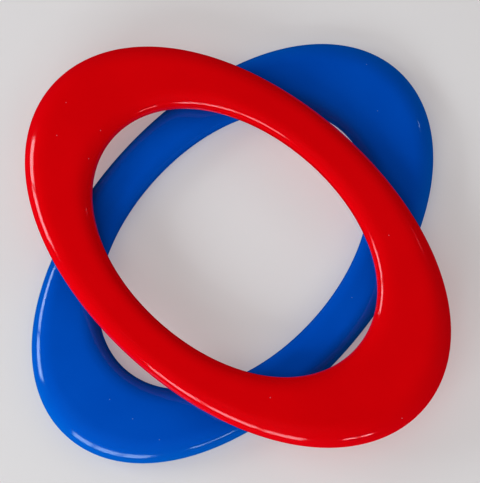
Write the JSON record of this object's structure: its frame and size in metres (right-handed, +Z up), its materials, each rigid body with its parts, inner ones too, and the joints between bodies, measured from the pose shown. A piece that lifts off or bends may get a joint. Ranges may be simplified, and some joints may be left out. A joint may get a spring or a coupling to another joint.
{
  "type": "oval toss rings",
  "caption": "Flat oval throwing rings with rounded edges and wide ends, a red ring lying crosswise on a matching blue ring.",
  "frame": {"origin": "middle of the pair's footprint, on the surface the lower ring lies on", "axes": "+Z up, along the rings' thickness; +X along the long axis of the lower ring"},
  "size_m": [0.245, 0.2448, 0.024],
  "materials": {
    "blue_plastic": "polished injection moulding, glossy, fine handling marks",
    "red_plastic": "polished injection moulding, glossy, fine handling marks"
  },
  "bodies": {
    "lower_ring": {"lower_ring_bottom_shell": "blue_plastic", "lower_ring_top_shell": "blue_plastic"},
    "upper_ring": {"upper_ring_bottom_shell": "red_plastic", "upper_ring_top_shell": "red_plastic"}
  },
  "joints": [
    {"name": "lift_off", "type": "slide", "parent": "lower_ring", "child": "upper_ring", "axis": [0, 0, 1], "range_m": [0, 0.08]}
  ]
}
